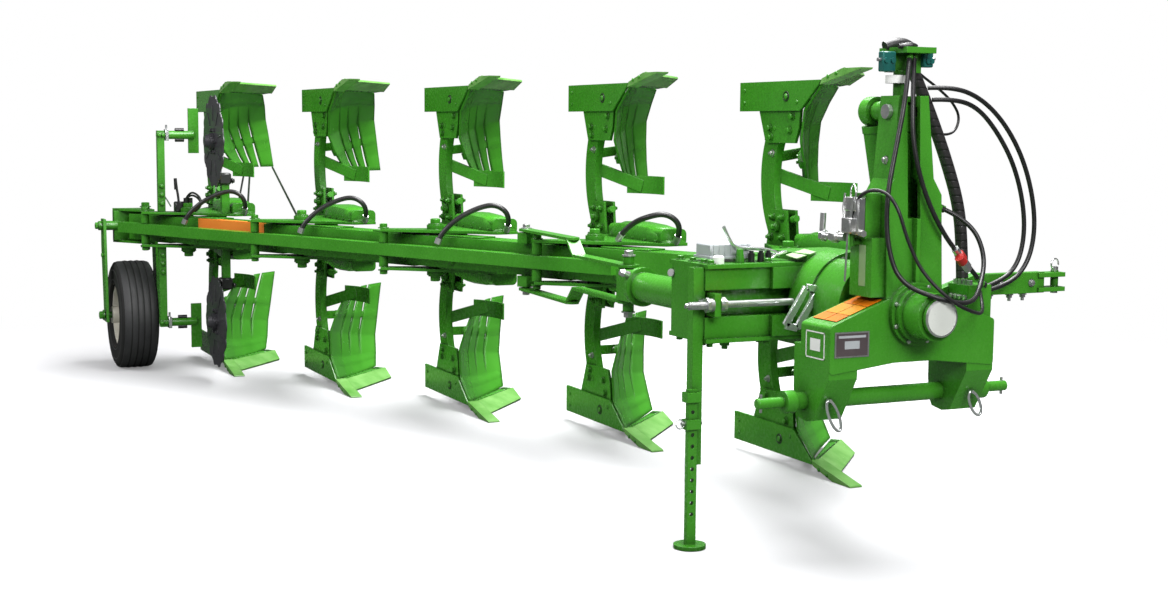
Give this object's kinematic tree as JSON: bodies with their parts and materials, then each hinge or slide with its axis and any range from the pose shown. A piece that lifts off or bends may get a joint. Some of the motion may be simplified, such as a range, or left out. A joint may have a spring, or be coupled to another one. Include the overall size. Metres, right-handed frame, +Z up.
{
  "type": "reversible moldboard plough",
  "caption": "Mounted reversible plough with slatted moldboards above and below a slanting variable-width beam, a turnover headstock, a parking stand and a ribbed depth wheel",
  "frame": {"origin": "middle of the lower hitch shaft, between the two lower hitch pins", "axes": "+X forward in the direction of travel, +Y to the left, +Z up; the part parks on a floor at z = -0.56 m"},
  "size_m": [6.1819, 2.78, 1.7379],
  "materials": {
    "green_paint": "gloss green paint",
    "dark_steel": "dark grey painted steel",
    "hose_rubber": "black hose rubber",
    "chrome_steel": "bright plated steel",
    "rim_paint": "off-white paint",
    "tyre_rubber": "black ribbed rubber"
  },
  "bodies": {
    "headstock": {"headstock_frame": "green_paint", "hitch_shaft": "green_paint", "hose_bundle": "hose_rubber", "hose_outer": "hose_rubber", "hose_inner": "hose_rubber", "hose_upper": "hose_rubber", "hose_loop": "hose_rubber", "hose_red": "hose_rubber", "hose_valve": "hose_rubber"},
    "turnover_barrel": {"turnover_barrel": "green_paint"},
    "turnover_rod": {"turnover_rod": "chrome_steel"},
    "swing": {"swing_frame": "green_paint", "adjust_spindle": "chrome_steel", "console_1": "green_paint", "leg_lower_1": "green_paint", "leg_upper_1": "green_paint", "moldboard_lower_1": "green_paint", "moldboard_upper_1": "green_paint", "share_lower_1": "green_paint", "share_upper_1": "green_paint"},
    "stand": {"stand_leg": "green_paint"},
    "width_tube": {"width_tube": "green_paint"},
    "width_link": {"width_link": "green_paint"},
    "beam": {"main_beam": "green_paint"},
    "body_2": {"console_2": "green_paint", "leg_lower_2": "green_paint", "leg_upper_2": "green_paint", "moldboard_lower_2": "green_paint", "moldboard_upper_2": "green_paint", "share_lower_2": "green_paint", "share_upper_2": "green_paint"},
    "body_3": {"console_3": "green_paint", "leg_lower_3": "green_paint", "leg_upper_3": "green_paint", "moldboard_lower_3": "green_paint", "moldboard_upper_3": "green_paint", "share_lower_3": "green_paint", "share_upper_3": "green_paint"},
    "body_4": {"console_4": "green_paint", "leg_lower_4": "green_paint", "leg_upper_4": "green_paint", "moldboard_lower_4": "green_paint", "moldboard_upper_4": "green_paint", "share_lower_4": "green_paint", "share_upper_4": "green_paint"},
    "body_5": {"console_5": "green_paint", "leg_lower_5": "green_paint", "leg_upper_5": "green_paint", "moldboard_lower_5": "green_paint", "moldboard_upper_5": "green_paint", "share_lower_5": "green_paint", "share_upper_5": "green_paint", "coulter_carriers": "green_paint"},
    "rail": {"control_rail": "green_paint"},
    "wheel_carrier": {"wheel_carrier": "green_paint"},
    "wheel_arm": {"wheel_arm": "green_paint"},
    "wheel": {"wheel_rim": "rim_paint", "wheel_tyre": "tyre_rubber"},
    "coulter_lower": {"coulter_disc_lower": "dark_steel"},
    "coulter_upper": {"coulter_disc_upper": "dark_steel"}
  },
  "joints": [
    {"name": "turnover", "type": "hinge", "parent": "headstock", "child": "swing", "pos_m": [0, 0, 0.293], "axis": [1, 0, 0], "range_deg": [0, 180]},
    {"name": "turnover_cylinder_swing", "type": "hinge", "parent": "headstock", "child": "turnover_barrel", "pos_m": [-0.11, 0, 0.96], "axis": [1, 0, 0], "range_deg": [-22.06, 0]},
    {"name": "turnover_rod_slide", "type": "slide", "parent": "turnover_barrel", "child": "turnover_rod", "axis": [0, 0.1913, -0.9815], "range_m": [-0.1426, 0]},
    {"name": "stand_slide", "type": "slide", "parent": "swing", "child": "stand", "axis": [0, 0, 1], "range_m": [0, 0.265]},
    {"name": "working_width", "type": "hinge", "parent": "swing", "child": "beam", "pos_m": [-1.07104, 0.27934, 0.293], "axis": [0, 0, 1], "range_deg": [-5, 6.95]},
    {"name": "width_tube_slide", "type": "slide", "parent": "swing", "child": "width_tube", "axis": [1, 0, 0], "range_m": [-0.0617, 0.0858]},
    {"name": "width_link_swing", "type": "hinge", "parent": "width_tube", "child": "width_link", "pos_m": [-1.11, -0.425, 0.293], "axis": [0, 0, 1], "range_deg": [-5.16, 7.17]},
    {"name": "rail_swing", "type": "hinge", "parent": "body_2", "child": "rail", "pos_m": [-2.18624, -0.34536, 0.293], "axis": [0, 0, 1], "range_deg": [-5, 6.95]},
    {"name": "wheel_carrier_swing", "type": "hinge", "parent": "beam", "child": "wheel_carrier", "pos_m": [-5.35027, -1.51447, 0.293], "axis": [0, 0, 1], "range_deg": [-6.95, 5]},
    {"name": "wheel_arm_swing", "type": "hinge", "parent": "wheel_carrier", "child": "wheel_arm", "pos_m": [-5.475, -1.59, 0.293], "axis": [0, 1, 0], "range_deg": [0, 180]},
    {"name": "wheel_spin", "type": "hinge", "parent": "wheel_arm", "child": "wheel", "pos_m": [-5.43, -1.59, -0.24], "axis": [0, 1, 0], "continuous": true},
    {"name": "coulter_lower_spin", "type": "hinge", "parent": "body_5", "child": "coulter_lower", "pos_m": [-4.7, -1.245, -0.22], "axis": [0, 1, 0], "continuous": true},
    {"name": "coulter_upper_spin", "type": "hinge", "parent": "body_5", "child": "coulter_upper", "pos_m": [-4.7, -1.245, 0.806], "axis": [0, 1, 0], "continuous": true},
    {"name": "body_2_swing", "type": "hinge", "parent": "beam", "child": "body_2", "pos_m": [-2.0394, -0.12658, 0.293], "axis": [0, 0, 1], "range_deg": [-6.95, 5]},
    {"name": "body_3_swing", "type": "hinge", "parent": "beam", "child": "body_3", "pos_m": [-3.00776, -0.53251, 0.293], "axis": [0, 0, 1], "range_deg": [-6.95, 5]},
    {"name": "body_4_swing", "type": "hinge", "parent": "beam", "child": "body_4", "pos_m": [-3.97612, -0.93844, 0.293], "axis": [0, 0, 1], "range_deg": [-6.95, 5]},
    {"name": "body_5_swing", "type": "hinge", "parent": "beam", "child": "body_5", "pos_m": [-4.94448, -1.34437, 0.293], "axis": [0, 0, 1], "range_deg": [-6.95, 5]}
  ],
  "couplings": [
    {"joint": "turnover_cylinder_swing", "follows": "turnover", "ratio": -0.12254},
    {"joint": "width_tube_slide", "follows": "working_width", "m_per_rad": 0.70705},
    {"joint": "width_link_swing", "follows": "working_width", "ratio": 1.0322},
    {"joint": "rail_swing", "follows": "working_width", "ratio": 1},
    {"joint": "wheel_carrier_swing", "follows": "working_width", "ratio": -1},
    {"joint": "body_2_swing", "follows": "working_width", "ratio": -1},
    {"joint": "body_3_swing", "follows": "working_width", "ratio": -1},
    {"joint": "body_4_swing", "follows": "working_width", "ratio": -1},
    {"joint": "body_5_swing", "follows": "working_width", "ratio": -1}
  ]
}
